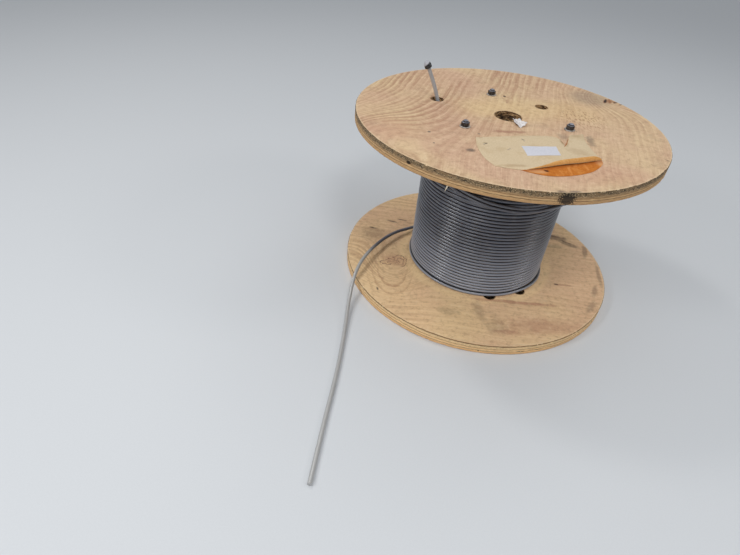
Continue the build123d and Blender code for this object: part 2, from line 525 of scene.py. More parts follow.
def veneer(finish, lean, swells, calms, spacing, contrast, early, late, pink, pale):
    """A sanded rotary-cut veneer's colour and relief: bands of late wood along the contours
    of its field, which fade at each calm place of (x, y, reach), with fibres, flecks and
    pores along them and a slow change between two tones."""
    field = veneer_field(finish, lean, swells)
    along = finish.x * math.sin(lean) + finish.y * math.cos(lean)
    uneven = (finish.stretched(field * 16, along * 1.4, 1) - 0.5) * 3.0
    ring = (field / spacing + uneven).math("FRACT")
    band = ring.between(0.05, 0.7) * ring.between(1.0, 0.8)
    clear = finish.stretched(field * 11, along * 3, 4).between(0.3, 0.66)
    for x, y, reach in calms:
        clear = clear * (1 - finish.spot(x, y, reach) * 0.85)
    fibre = finish.stretched(field * 420, along * 16, 0, 3.0, 0.6)
    streak = finish.stretched(field * 150, along * 5, 2)
    fleck = finish.stretched(field * 300, along * 60, 9, 1.0).between(0.6, 0.74)
    pore = finish.stretched(field * 1500, along * 70, 3, 1.0).between(0.64, 0.78)
    colour = finish.coated(
        early,
        (finish.noise(5.5, 3.0).between(0.34, 0.66), pink),
        (band * clear * contrast, late),
        (streak.between(0.35, 0.7) * 0.26, late),
        (fibre.between(0.45, 0.72) * 0.4, pale),
        (fleck * 0.18, (140, 104, 80)),
        (pore * 0.28, (128, 94, 70)),
    )
    return colour, fibre, fibre * 0.6 + band * 0.4 - pore * 0.7


def squiggle(finish, x, y, across, along):
    """The thin broken outlines round a grown-over knot."""
    level = finish.spot(x, y, across, along) + (finish.noise(62.0, 3.0) - 0.5) * 1.7
    outer = level.between(0.38, 0.46) * level.between(0.56, 0.48)
    inner = level.between(0.76, 0.84) * level.between(0.98, 0.88)
    broken = finish.noise(38.0).between(0.4, 0.52)
    near = finish.spot(x, y, across * 1.6, along * 1.6).between(0.2, 0.45)
    return (outer + inner) * (0.3 + broken * 0.7) * near


def knotted(finish, colour, knots):
    """Knots at (x, y, reach across, reach along, turn): a red brown collar and a black heart."""
    ragged = (finish.noise(180.0, 3.0) - 0.5) * 0.6
    for place in knots:
        heart = finish.spot(*place) + ragged
        colour = finish.coated(
            colour, (heart.between(0.2, 0.5) * 0.8, (122, 72, 46)), (heart.between(0.5, 0.66), (28, 20, 18)),
        )
    return colour


def soiled(finish, colour, stains, shade=(84, 78, 72)):
    """Ragged stains at (x, y, reach across, reach along, turn, depth)."""
    ragged = (finish.noise(60.0, 5.0, 0.65) - 0.5) * 1.2
    for *place, depth in stains:
        blot = finish.spot(*place) + ragged
        colour = finish.mix(blot.between(0.3, 0.95) * depth, colour, shade)
    return colour


def worn_face(finish, colour, holes):
    """Specks and smudges all over, and darkened rims round the holes and at the edge."""
    mottle = finish.noise(95.0, 4.0, 0.7)
    colour = finish.coated(
        colour,
        (finish.noise(16.0, 5.0, 0.7).between(0.56, 0.75) * 0.22, (128, 108, 92)),
        (mottle.between(0.5, 0.68) * 0.34, (150, 116, 92)),
        (mottle.between(0.48, 0.32) * 0.26, (232, 208, 172)),
        (finish.noise(240.0).between(0.74, 0.8) * 0.6, (84, 62, 48)),
    )
    for x, y, radius in holes:
        rim = ((finish.reach_from(x, y) - radius) / (2.2 * MM)).math("ABSOLUTE").between(1.0, 0.2)
        colour = finish.mix(rim * 0.5, colour, (96, 66, 44))
    edge = finish.reach_from() + (finish.noise(45.0, 5.0, 0.7) - 0.5) * 0.012
    return finish.coated(
        colour,
        (edge.between(0.3005, 0.3035) * 0.5, (226, 202, 164)),
        (edge.between(0.3035, 0.3060) * 0.6, (110, 84, 58)),
    )


def middle_holes():
    """The arbor and drive holes of either flange, at (x, y, radius)."""
    return [(0, 0, ARBOR_RADIUS), (*at(DRIVE_HOLE_REACH, DRIVE_HOLE_ANGLE), DRIVE_HOLE_RADIUS)]


def start_holes(*angles):
    """The holes that the cable starts through, at (x, y, radius)."""
    return [(*at(START_HOLE_REACH, angle), START_HOLE_RADIUS) for angle in angles]


def upper_face():
    """The top veneer: arches on the left, nearly straight lines on the right, bent round a
    knot near its edge."""
    finish = Finish("upper_face", specular_ior_level=0.3)
    swells = [
        (0.262, 0.156, 0.075, 0.075, 0.085), (0.262, 0.156, 0.030, 0.030, 0.030),
        (-0.270, -0.155, 0.115, 0.140, 0.130), (0.010, 0.116, 0.014, 0.014, 0.010),
    ]
    calms = [(0.080, -0.220, 0.150), (0.210, -0.080, 0.110), (-0.060, -0.230, 0.090), (-0.236, -0.142, 0.045)]
    colour, fibre, height = veneer(
        finish, math.radians(15), swells, calms, 15 * MM, 0.8,
        (213, 187, 147), (168, 126, 99), (203, 168, 140), (224, 200, 165),
    )
    yellow = finish.spot(0.140, 0.060, 0.090, 0.070) + finish.spot(-0.020, 0.030, 0.110, 0.080)
    rosy = finish.spot(-0.232, -0.120, 0.050, 0.060) + finish.spot(0.100, -0.225, 0.120, 0.050)
    halo = finish.spot(0.208, 0.158, 0.048, 0.052).between(0.15, 0.8)
    colour = finish.coated(
        colour,
        (yellow.between(0.2, 1.1) * 0.5, (216, 186, 136)),
        (rosy.between(0.2, 0.9) * 0.35, (196, 150, 124)),
        (halo * 0.55, (148, 130, 112)),
    )
    colour = soiled(finish, colour, [
        (0.012, 0.088, 0.004, 0.020, -14, 0.5), (-0.010, -0.080, 0.046, 0.008, 8, 0.75),
    ], (160, 116, 94))
    colour = soiled(finish, colour, [
        (0.2505, 0.150, 0.0085, 0.0210, -23, 1.0), (0.262, 0.146, 0.0060, 0.0120, -30, 0.9),
    ], (138, 86, 50))
    colour = knotted(finish, colour, [
        (0.2395, 0.147, 0.0036, 0.0150, -23), (0.010, 0.117, 0.0036, 0.0050, 0),
        (0.262, 0.1435, 0.0030, 0.0090, -60), (0.272, 0.134, 0.0024, 0.0090, -64),
    ])
    colour = soiled(finish, colour, [
        (-0.092, -0.178, 0.011, 0.009, 0, 0.75), (0.140, -0.085, 0.010, 0.032, -8, 0.5),
        (0.090, -0.078, 0.014, 0.020, 0, 0.35), (0.262, -0.146, 0.0016, 0.012, 38, 0.9),
        (0.036, -0.301, 0.012, 0.008, 0, 0.85), (0.058, -0.297, 0.016, 0.006, 10, 0.7),
        (-0.162, -0.115, 0.004, 0.005, 0, 0.8), (-0.155, -0.162, 0.0022, 0.0022, 0, 1.0),
        (-0.070, -0.104, 0.004, 0.004, 0, 0.8),
    ])
    ticks = finish.stretched(finish.x * 260, finish.y * 90, 6, 1.0).between(0.54, 0.62)
    ticked = finish.spot(0.155, 0.020, 0.050, 0.055).between(0.15, 0.7)
    colour = finish.mix(ticks * ticked * 0.65, colour, (150, 108, 76))
    colour = worn_face(finish, colour, middle_holes() + start_holes(UPPER_START_HOLE_ANGLE))
    return finish.wear(colour, 0.6 + fibre * 0.18, height, 0.3 * MM)


def lower_face():
    """The lower veneer: grain across the drum, a knot's swirl on the left, a pale ring where
    cable has lain, and black smears at the right."""
    finish = Finish("lower_face", specular_ior_level=0.3)
    swells = [(-0.195, -0.080, 0.056, 0.085, 0.135)]
    calms = [(0.060, -0.230, 0.120), (0.200, -0.060, 0.120), (-0.080, -0.230, 0.070)]
    colour, fibre, height = veneer(
        finish, math.radians(-86), swells, calms, 19 * MM, 0.62,
        (228, 197, 151), (184, 146, 111), (221, 184, 147), (237, 210, 168),
    )
    lain = finish.reach_from() + (finish.noise(30.0, 3.0) - 0.5) * 0.012
    ring = lain.between(0.158, 0.163) * lain.between(0.186, 0.174)
    across, along = finish.x + 0.195, (finish.y + 0.070) * 0.46
    swirl = (across * across + along * along).math("SQRT") + (finish.noise(22.0) - 0.5) * 0.012
    arc = (swirl / (12.5 * MM)).math("FRACT")
    arcs = arc.between(0.4, 0.8) * arc.between(1.0, 0.86) * finish.spot(-0.200, -0.130, 0.056, 0.060)
    arcs = arcs * swirl.between(0.022, 0.032)
    red = squiggle(finish, -0.208, -0.063, 0.021, 0.014) + squiggle(finish, -0.177, -0.057, 0.015, 0.020)
    colour = finish.coated(
        colour,
        (ring * 0.5, (240, 210, 160)),
        (arcs.between(0.1, 0.9) * 0.5, (160, 114, 84)),
        (red * 0.85, (92, 48, 46)),
    )
    colour = soiled(finish, colour, [
        (0.070, -0.166, 0.130, 0.007, 0, 0.7), (0.200, -0.090, 0.030, 0.004, 0, 0.6),
        (0.120, -0.235, 0.110, 0.030, 4, 0.5), (0.040, -0.262, 0.040, 0.010, 0, 0.5),
        (-0.190, -0.055, 0.050, 0.030, 0, 0.35),
    ], (178, 130, 104))
    colour = soiled(finish, colour, [
        (0.222, 0.106, 0.040, 0.016, -10, 0.7), (0.248, 0.082, 0.036, 0.010, -30, 0.6),
        (0.285, 0.055, 0.008, 0.040, -14, 0.5), (0.205, 0.066, 0.036, 0.010, 0, 0.3),
        (0.264, -0.105, 0.008, 0.034, -22, 0.4), (0.240, -0.160, 0.010, 0.030, -36, 0.4),
        (0.292, -0.040, 0.006, 0.060, -8, 0.4), (-0.010, -0.205, 0.014, 0.040, 6, 0.3),
        (-0.075, -0.215, 0.030, 0.014, 0, 0.3), (0.020, -0.250, 0.030, 0.030, 0, 0.25),
        (-0.245, 0.050, 0.040, 0.040, 0, 0.3),
    ], (96, 78, 64))
    colour = soiled(finish, colour, [
        (0.218, 0.113, 0.026, 0.005, -14, 0.5), (0.246, 0.090, 0.022, 0.004, -30, 0.55),
        (0.180, -0.089, 0.006, 0.003, 0, 0.9), (-0.226, -0.163, 0.003, 0.007, 20, 0.9),
        (-0.250, 0.075, 0.014, 0.005, -14, 0.8), (-0.200, 0.112, 0.020, 0.004, -10, 0.7),
        (-0.176, 0.124, 0.016, 0.003, -10, 0.7),
    ], (62, 48, 42))
    colour = worn_face(finish, colour, start_holes(*LOWER_START_HOLE_ANGLES))
    return finish.wear(colour, 0.6 + fibre * 0.18, height, 0.3 * MM)


def plywood_edge(name, base, layers, dirt, marks):
    """The plies on a cut edge. layers gives their colours up the edge, dirt its depth, and
    marks black patches at (angle in degrees, height, half width, half height, raggedness): painted shade in
    the edge's hollows, and stains."""
    finish = Finish(name, roughness=0.78, specular_ior_level=0.25)
    turn = finish.y.math("ARCTAN2", finish.x)
    wander = finish.stretched(turn * 9, finish.z * 30, base, 4.0, 0.65) - 0.5
    level = (finish.z - base) / FLANGE_THICKNESS + wander * 0.13
    strands = finish.stretched(turn * 24, finish.z * 1400, 0, 3.0, 0.65)
    grains = finish.stretched(turn * 170, finish.z * 420, 3, 4.0, 0.7)
    rough_cut = finish.stretched(turn * 60, finish.z * 260, 7, 5.0, 0.75)
    patch = finish.stretched(turn * 7, finish.z * 90, 5, 4.0, 0.65)
    soil = level.between(0.52, 0.74) * level.between(1.04, 0.98) * patch.between(0.34, 0.5)
    torn = rough_cut.between(0.66, 0.72)
    colour = finish.coated(
        finish.ramp(level, layers),
        (strands.between(0.4, 0.66) * 0.4, (140, 102, 66)),
        (strands.between(0.48, 0.34) * 0.45, (240, 204, 150)),
        (soil * rough_cut.between(0.36, 0.6) * dirt, (88, 76, 58)),
        (soil * rough_cut.between(0.52, 0.60) * dirt, (36, 30, 26)),
        (soil * grains.between(0.47, 0.36) * dirt, (206, 182, 144)),
        (torn * 0.7, (46, 34, 26)),
    )
    uneven = rough_cut * 0.4 + grains * 0.6 - 0.5
    # Black patches: painted shade in the edge's hollows, and stains.
    for angle, height, half_width, half_height, ragged in marks:
        across = (turn - math.radians(angle)) * (FLANGE_RADIUS / half_width)
        up = (finish.z - height) / half_height
        blot = ((across * across + up * up) * -1).math("EXPONENT") + uneven * ragged
        colour = finish.mix(blot.between(0.42, 0.66) * 0.9, colour, (30, 26, 24))
    return finish.wear(colour, height=grains * 0.5 + strands * 0.5 - torn, relief=0.6 * MM)


def flange(name, base, groove_top, holes, face, edge, bored, hollows, seed):
    """A plywood disc with worn arrises, torn plies and hollows on its edge, its holes at
    (x, y, radius, from, to) and the groove for the barrel."""
    top = base + FLANGE_THICKNESS

    def worn(angle, radius, height):
        around = Vector((math.cos(angle) * 9, math.sin(angle) * 9, seed))
        layered = rough(angle * 40, height * 700, seed)
        chip = max(0, noise.noise(around * 3 + Vector((0, 0, height * 200))) - 0.3) * 3 * MM
        reach = radius - abs(layered) * 0.7 * MM - chip
        for at_angle, at_height, half_width, half_height, depth in hollows:
            across = ((angle - math.radians(at_angle) + math.pi) % FULL_TURN - math.pi) * radius
            reach -= depth * bell(across, half_width) * bell(height - at_height, half_height)
        return reach, height

    inset = FLANGE_RADIUS - ARRIS_WORN_BY
    profile = [(inset, base), (FLANGE_RADIUS, base + ARRIS_WORN_BY)]
    profile += [
        (FLANGE_RADIUS, base + FLANGE_THICKNESS * step / EDGE_STEPS) for step in range(2, EDGE_STEPS - 1)
    ]
    profile += [(FLANGE_RADIUS, top - ARRIS_WORN_BY), (inset, top)]
    piece = shape_to_piece(name, turned(profile, 720, shape_at=worn), face, edge)
    for hole in holes:
        cut_away(piece, hole_cutter(*hole))
    outer, inner = BARREL_RADIUS + SEAT_GAP, BARREL_RADIUS - BARREL_WALL - SEAT_GAP
    groove_base = groove_top - BARREL_GROOVE_DEPTH
    groove = [(outer, groove_base), (outer, groove_top), (inner, groove_top), (inner, groove_base)]
    cut_away(piece, shape_to_piece("groove", turned(groove, 128, hollow=True)))
    piece.data.materials.append(bored)
    for side in piece.data.polygons:
        bored_side = side.center.xy.length < FLANGE_RADIUS * 0.9
        side.material_index = 0 if abs(side.normal.z) > 0.8 else 2 if bored_side else 1
    return carried(piece, "plywood", name)


def bored_plies():
    """The rough walls of the holes: plies end on, splintered and stained, with dark flecks of painted shade
    deeper down.
    """
    finish = Finish("bored_plies", roughness=0.85, specular_ior_level=0.2)
    ply = finish.stretched(finish.x * 60, finish.y * 60, finish.z * 320, 3.0, 0.7)
    torn = finish.stretched(finish.x * 110, finish.y * 110, finish.z * 420, 5.0, 0.75)
    depth = finish.z.between(TOP_FACE - 5 * MM, TOP_FACE - 14 * MM)
    colour = finish.coated(
        (206, 164, 116),
        (ply.between(0.4, 0.6), (132, 98, 66)),
        (torn.between(0.50, 0.56), (46, 34, 26)),
        (torn.between(0.46, 0.36) * 0.6, (230, 200, 154)),
        # Painted shade: dark flecks from 5 to 14 mm below the top face and lower, so all through the lower
        # flange's holes.
        (depth * torn.between(0.4, 0.5) * 0.8, (44, 36, 30)),
    )
    return finish.wear(colour, height=torn, relief=0.8 * MM)


def splinter():
    """A pale splinter that hangs from the lower arris of the upper flange."""
    finish = Finish("pale_splinter", roughness=0.7)
    fibre = finish.stretched(finish.x * 900, finish.y * 900, finish.z * 90)
    wood = finish.wear(finish.mix(fibre.between(0.35, 0.65), (226, 214, 192), (190, 170, 140)))
    thickness = 0.9 * MM
    shape = bmesh.new()
    rings = []
    for step, half_width in enumerate((1.4, 1.2, 0.8, 0.2)):
        share = step / 3
        reach, angle = FLANGE_RADIUS - (1.0 + 1.5 * share) * MM, -116.2 - 0.7 * share
        level = UPPER_BASE + (1.5 - 13.5 * share) * MM
        half_turn = math.degrees(half_width * MM / FLANGE_RADIUS)
        corners = [
            at(reach - inside, angle + side * half_turn)
            for side, inside in ((-1, 0), (1, 0), (1, thickness), (-1, thickness))
        ]
        rings.append([shape.verts.new((*corner, level)) for corner in corners])
    for high, low in zip(rings, rings[1:]):
        bridge(shape, high, low)
    shape.faces.new(rings[0])
    shape.faces.new(rings[-1])
    return carried(shape_to_piece("rim_splinter", shape, wood), "plywood")


def hole_cutter(x, y, radius, low, high):
    """A round cutter whose wall is a little torn."""
    def torn(angle, reach, height):
        torn_by = rough(x * 90 + math.cos(angle) * 4, y * 90 + math.sin(angle) * 4, height * 300)
        return reach + torn_by * 0.3 * MM, height

    shape = turned([(radius, low), (radius, (low + high) / 2), (radius, high)], 72, shape_at=torn)
    bmesh.ops.translate(shape, verts=shape.verts, vec=(x, y, 0))
    return shape_to_piece("hole", shape)


def both_flanges():
    """The two flanges, each with its own face, edge and holes."""
    through = middle_holes() + [(*at(BOLT_REACH, angle), BOLT_HOLE_RADIUS) for angle in BOLT_ANGLES]

    def all_through(holes, base):
        return [(*hole, base - MM, base + FLANGE_THICKNESS + MM) for hole in holes]

    upper = all_through(through + start_holes(UPPER_START_HOLE_ANGLE), UPPER_BASE)
    lower = all_through(through + start_holes(*LOWER_START_HOLE_ANGLES), 0)
    lower += [(*at(BOLT_REACH, angle), RECESS_RADIUS, -MM, RECESS_DEPTH) for angle in BOLT_ANGLES]
    dark, glue = (70, 50, 34), (118, 84, 54)
    # The first dark stop of each list is painted shade at the foot of the edge, partly dirt on the upper
    # flange. The other dark stops are glue lines and dirt.
    upper_layers = [
        (0.0, dark), (0.05, (188, 148, 104)), (0.27, (196, 158, 112)), (0.31, dark),
        (0.36, (214, 178, 130)), (0.47, (186, 150, 108)), (0.50, glue), (0.54, (172, 142, 104)),
        (0.70, (158, 130, 96)), (0.74, (128, 106, 78)), (0.93, (122, 102, 76)), (0.98, dark),
    ]
    # The lower edge's plies are painted much lighter than the upper edge's: partly their own cleaner colour,
    # partly painted light for an edge that the lamps light less.
    lower_layers = [
        (0.0, dark), (0.06, (234, 186, 132)), (0.29, (242, 198, 144)), (0.33, dark),
        (0.37, (250, 214, 162)), (0.57, (244, 202, 148)), (0.61, glue), (0.65, (252, 216, 164)),
        (0.88, (252, 220, 170)), (0.93, dark), (0.98, (150, 112, 74)),
    ]
    # The black at the void, split, seam and nick is painted shade in their hollows; the mark named stain is a
    # stain.
    void = (-131.0, UPPER_BASE + 12.5 * MM, 6.0 * MM, 3.6 * MM)
    stain = (-81.0, UPPER_BASE + 11 * MM, 17 * MM, 15 * MM)
    split = (-77.5, 6 * MM, 12 * MM, 1.2 * MM)
    seam = (-70.5, 7 * MM, 14 * MM, 1.0 * MM)
    nick = (-93.5, 5 * MM, 1.8 * MM, 1.4 * MM)
    upper_edge = plywood_edge("upper_edge", UPPER_BASE, upper_layers, 0.9, [(*void, 0), (*stain, 3.2)])
    lower_edge = plywood_edge("lower_edge", 0.0, lower_layers, 0.16, [(*split, 1), (*seam, 1), (*nick, 0)])
    bored = bored_plies()
    upper_hollows = [(*void, 4 * MM), (*stain, 0.6 * MM)]
    lower_hollows = [(*split, 2.5 * MM), (*seam, 1.5 * MM), (*nick, 1.5 * MM)]
    flange("flange_upper", UPPER_BASE, UPPER_BASE + BARREL_GROOVE_DEPTH, upper, upper_face(), upper_edge,
           bored, upper_hollows, 3.0)
    flange("flange_lower", 0.0, FLANGE_THICKNESS, lower, lower_face(), lower_edge, bored, lower_hollows, 8.0)
    splinter()


# Cable

def jacket(name, dark, light, painted_light_share=0, painted_gap_shade=0):
    """A satin cable jacket with dust and a slow change of tone. Towards its front end it is
    lighter by a share, a painted light. On wound cable painted shade darkens the gaps between the turns, and
    the lowest turns are painted lighter and bluer, as if lit more."""
    finish = Finish(name, specular_ior_level=0.8, coat_weight=0.6, coat_roughness=0.26)
    dust = finish.noise(60.0, 3.0, 0.6).between(0.5, 0.72)
    colour = finish.coated(
        dark,
        (finish.noise(9.0).between(0.3, 0.7), light),
        # Painted light: the tone turns lighter towards the cable's front end, as if lit more there.
        (finish.y.between(-0.010, -0.080) * painted_light_share, (170, 170, 168)),
        (dust * 0.1, (190, 188, 184)),
    )
    if painted_gap_shade:
        facing = (finish.facing(0) * finish.x + finish.facing(1) * finish.y) / finish.reach_from()
        colour = finish.coated(
            colour,
            # Painted light: lighter and bluer towards the bottom of the winding.
            (finish.z.between(0.19, 0.03) * 0.7, (160, 166, 180)),
            # Painted shade in the gaps between the turns, where the surface faces away from outwards.
            (facing.between(0.84, 0.46) * painted_gap_shade, (20, 20, 24)),
        )
    return finish.wear(colour, 0.32 + dust * 0.1, dust, 0.02 * MM)


def second_layer():
    """The second layer's line, from just above the slack turn to the top. Each turn lies
    level and climbs to the next at the back, and the lowest are lifted at the left."""
    points = []
    foot = TAIL_ROUTE[0][2] + PITCH * 0.94
    for step in range(int((WINDING_TOP - foot) / PITCH) * STEPS_TO_A_TURN):
        turn = step / STEPS_TO_A_TURN
        angle = CLIMB_AT + 360 * turn
        climbed = int(turn) + max(0, turn % 1 - 1 + CLIMB_SHARE) / CLIMB_SHARE
        where = Vector((*at(3, angle), turn * 0.9))
        lifted = LIFT * bell((angle % 360) - LIFT_AT, LIFT_WIDTH) * math.exp(-turn / LIFTED_TURNS)
        reach = SECOND_LAYER + noise.noise(where) * 0.4 * MM
        height = foot + PITCH * climbed + noise.noise(where + Vector((7, 0, 0))) * 0.5 * MM + lifted
        points.append((*at(reach, angle), height))
    return points


def last_layer():
    """The line of the third layer from the top down, then the stretch that slants down
    round the right and the back, then the slack turn at the foot, up to the tail."""
    first_angle, first_height = LAYER_EDGE[0]
    turns_above = (WINDING_TOP - CABLE_RADIUS - first_height * MM) / PITCH
    angle = first_angle - 360 * turns_above
    slant = [
        (SLANT_FROM, THIRD_LAYER), (346, THIRD_LAYER + MM), (480, THIRD_LAYER + MM), (SLANT_TO, SLACK_LAYER),
    ]
    points = []
    while angle < TAIL_FROM:
        height = between_stops(LAYER_EDGE, angle) * MM + max(0, first_angle - angle) / 360 * PITCH
        reach = between_stops(slant, angle)
        fading = math.exp(min(0, angle - FLARE_AT) / FLARE_FADE)
        reach += FLARE * bell((angle % 360) - FLARE_AT, FLARE_WIDTH) * fading
        loose = 0.6 * MM if angle < SLANT_FROM else 0.1 * MM
        where = Vector((*at(3, angle), angle / 400))
        height += noise.noise(where + Vector((3, 0, 0))) * loose
        points.append((*at(reach + noise.noise(where) * loose * 0.8, angle), height))
        angle += 360 / STEPS_TO_A_TURN
    points.append((*at(SLACK_LAYER, TAIL_FROM), TAIL_ROUTE[0][2]))
    return points


def crossing(number):
    """A stretch that rides down over its neighbours at the front, from under the flange."""
    points = []
    for angle in range(CROSSING_HEIGHTS[0][0], CROSSING_HEIGHTS[-1][0] + 1, CROSSING_STEP):
        height = between_stops(CROSSING_HEIGHTS, angle) * MM + number * PITCH
        points.append((*at(between_stops(CROSSING_REACHES, angle) * MM, angle), height))
    return points


def winding(material):
    """The wound cable, turn by turn, over a plain ring for the layers under it."""
    lines = [second_layer(), last_layer(), crossing(0), crossing(1)]
    turns = tubes("cable_turns", lines, CABLE_RADIUS * 0.955, 12, material)
    bore, cover = BARREL_RADIUS + SEAT_GAP, SECOND_LAYER - CABLE_RADIUS * 0.8
    under = [(bore, WINDING_BASE), (cover, WINDING_BASE), (cover, WINDING_TOP), (bore, WINDING_TOP)]
    together(turns, shape_to_piece("cable_under", turned(under, 120, hollow=True), material))
    return carried(turns, "cable_jacket", "cable_winding")


def cord(name, route, node, material):
    """A round cable along a smooth curve that the route's points control."""
    curve = curve_through(name, "NURBS", [route])
    curve.bevel_depth, curve.bevel_resolution = CABLE_RADIUS, 4
    curve.use_fill_caps = True
    curve.resolution_u = 16
    curve.splines[0].order_u = 3
    curve.splines[0].use_endpoint_u = True
    return carried(new_piece(name, curve, material), "cable_jacket", node)


def end_cap():
    """The moulded cap on the tip of the cable's inner end, with a worn grey top."""
    tip = Vector(INNER_END_ROUTE[-1])
    upwards = (tip - Vector(INNER_END_ROUTE[-2])).normalized()
    foot = tip - upwards * CAP_DEPTH
    finish = Finish("black_cap", specular_ior_level=0.6)
    scuff = finish.noise(300.0, 3.0)
    rise = finish.x * upwards.x + finish.y * upwards.y + finish.z * upwards.z - foot.dot(upwards)
    lighter_top = rise - (finish.x - tip.x) * 0.45
    worn = lighter_top.between(CAP_LENGTH - 6.5 * MM, CAP_LENGTH - 4.5 * MM)
    colour = finish.coated(
        (26, 26, 30),
        (scuff.between(0.5, 0.75) * 0.3, (96, 96, 100)),
        (worn * (0.7 + scuff * 0.4), (176, 177, 184)),
    )
    material = finish.wear(colour, 0.32 + scuff * 0.2, scuff, 0.1 * MM)
    profile = [(CAP_BORE, CAP_DEPTH), (CAP_BORE, 0), (CAP_RADIUS - 0.7 * MM, 0), (CAP_RADIUS, 0.7 * MM)]
    for inset, below_top in ((0, 7.5), (0.6, 5.5), (1.6, 3.2), (2.9, 1.2), (4.0, 0.3), (5.2, 0)):
        profile.append((CAP_RADIUS - inset * MM, CAP_LENGTH - below_top * MM))
    shape = turned(profile, 48)
    onto_tip = Matrix.Translation(foot) @ upwards.to_track_quat("Z", "Y").to_matrix().to_4x4()
    bmesh.ops.transform(shape, matrix=onto_tip, verts=shape.verts)
    cap = smoothed(shape_to_piece("cable_end_cap", shape, material), 40)
    return carried(cap, "black_cap", "inner_end_cap")


def cables():
    """Every stretch of the cable."""
    # The wound jacket is painted darker than the start's: painted shade for the winding under the upper
    # flange. The start's jacket is the lit tone of the same cable, and the tail's fades from the shaded tone
    # to the lit one.
    wound = jacket("cable_jacket", (64, 67, 78), (86, 91, 104), painted_gap_shade=0.95)
    lit_jacket = jacket("cable_jacket_painted_lit", (150, 152, 156), (166, 168, 171))
    fading = jacket("cable_jacket_tail", (72, 73, 82), (90, 92, 103), painted_light_share=0.95)
    tail = cord("cable_outer_end", TAIL_ROUTE, "cable_tail", fading)
    start = cord("cable_start", INNER_END_ROUTE, "cable_inner_end", lit_jacket)
    end_cap()
    winding(wound)


# Steel

def steel(name, dark, light, metallic):
    """Blotched and scratched steel, with a painted highlight where it faces up, from the nuts' tops upwards.
    """
    finish = Finish(name, metallic=metallic)
    blotch = finish.noise(240.0, 4.0, 0.65).between(0.35, 0.68)
    scratch = finish.stretched(finish.x * 500, finish.y * 500, finish.z * 60)
    # Painted highlight: a pale bluish coat on faces that look up, from just below the nuts' tops.
    lighter_top = finish.z.between(NUT_TOP - 0.7 * MM, NUT_TOP - 0.1 * MM) * finish.facing(2).between(0.5, 0.9)
    colour = finish.coated(dark, (blotch, light), (lighter_top * 0.75, (166, 168, 180)))
    return finish.wear(colour, 0.34 + blotch * 0.25, blotch + scratch * 0.4, 0.1 * MM)


def nut_shape():
    """A hexagonal nut whose corners are chamfered at both ends, round its bore."""
    height = NUT_TOP - WASHER_TOP
    chamfer = 1.3 * MM

    def hexagon(angle, radius, level):
        if radius < NUT_APOTHEM * 0.9:
            return radius, level
        inset = max(0, chamfer - (level - WASHER_TOP), chamfer - (NUT_TOP - level)) * 1.6
        from_flat = (angle + math.pi / 6) % (math.pi / 3) - math.pi / 6
        return min(NUT_APOTHEM / math.cos(from_flat), NUT_APOTHEM * 1.155 - inset), level

    bore = BOLT_RADIUS + 0.05 * MM
    levels = [WASHER_TOP + height * share for share in (0, 0.06, 0.12, 0.18, 0.5, 0.82, 0.88, 0.94, 1)]
    profile = [(NUT_APOTHEM, level) for level in levels]
    profile += [(bore + 0.7 * MM, NUT_TOP), (bore, NUT_TOP - 0.7 * MM), (bore, WASHER_TOP)]
    return smoothed(shape_to_piece("nut", turned(profile, 96, hollow=True, shape_at=hexagon)), 24)


def washer_shape():
    """A flat washer with bevelled outer edges."""
    bore, bevel = BOLT_RADIUS + 0.4 * MM, 0.4 * MM
    profile = [
        (WASHER_RADIUS - bevel, TOP_FACE), (WASHER_RADIUS, TOP_FACE + bevel),
        (WASHER_RADIUS, WASHER_TOP - bevel), (WASHER_RADIUS - bevel, WASHER_TOP),
        (bore, WASHER_TOP), (bore, TOP_FACE),
    ]
    return smoothed(shape_to_piece("washer", turned(profile, 64, hollow=True)), 50)


def bolt_shape():
    """A bolt from its low round head under the drum to the threads above its nut."""
    thread_pitch, thread_depth = 1.6 * MM, 0.5 * MM
    thread_from = WASHER_TOP - 4 * MM
    profile = [
        (HEAD_RADIUS * 0.35, HEAD_BASE), (HEAD_RADIUS * 0.7, HEAD_BASE + 0.5 * MM),
        (HEAD_RADIUS * 0.93, HEAD_BASE + 1.8 * MM), (HEAD_RADIUS, HEAD_BASE + 3.4 * MM),
        (HEAD_RADIUS, HEAD_TOP), (BOLT_RADIUS, HEAD_TOP), (BOLT_RADIUS, thread_from),
    ]
    for turn in range(int((BOLT_TOP - thread_from) / thread_pitch)):
        low = thread_from + turn * thread_pitch
        profile += [(BOLT_RADIUS - thread_depth, low + thread_pitch / 2), (BOLT_RADIUS, low + thread_pitch)]
    profile += [(BOLT_RADIUS - 1.1 * MM, BOLT_TOP)]
    return smoothed(shape_to_piece("bolt", turned(profile, 48)), 34)


def hardware():
    """The three bolts with their washers and nuts. Gives the metal that the staples share."""
    places = [at(BOLT_REACH, angle) for angle in BOLT_ANGLES]
    black = steel("dark_steel", (52, 50, 52), (98, 94, 92), 0.8)
    grey = steel("worn_steel", (146, 138, 130), (206, 198, 190), 0.5)
    for name, shape, metal, nodes in (
        ("hex_nuts", nut_shape(), black, ["nuts"]),
        ("flat_washers", washer_shape(), grey, ["washers"]),
        ("through_bolts", bolt_shape(), black, ["bolt_1", "bolt_2", "bolt_3"]),
    ):
        carried(copies(name, shape, places, NUT_TURNS, metal), "dark_steel", *nodes)
    return grey


# Paper

def paper_finish(name, low, high, stain=None, roughness=0.8):
    """Paper with fibres, faint creases and, on old paper, stains."""
    finish = Finish(name, roughness=roughness, specular_ior_level=0.2)
    fibre = finish.noise(380.0, 4.0, 0.6)
    crease = finish.noise(34.0, 4.0, 0.6)
    colour = finish.mix(fibre.between(0.3, 0.7), low, high)
    if stain:
        colour = finish.mix(crease.between(0.5, 0.68) * 0.4, colour, stain)
    return finish, colour, fibre + crease * 2


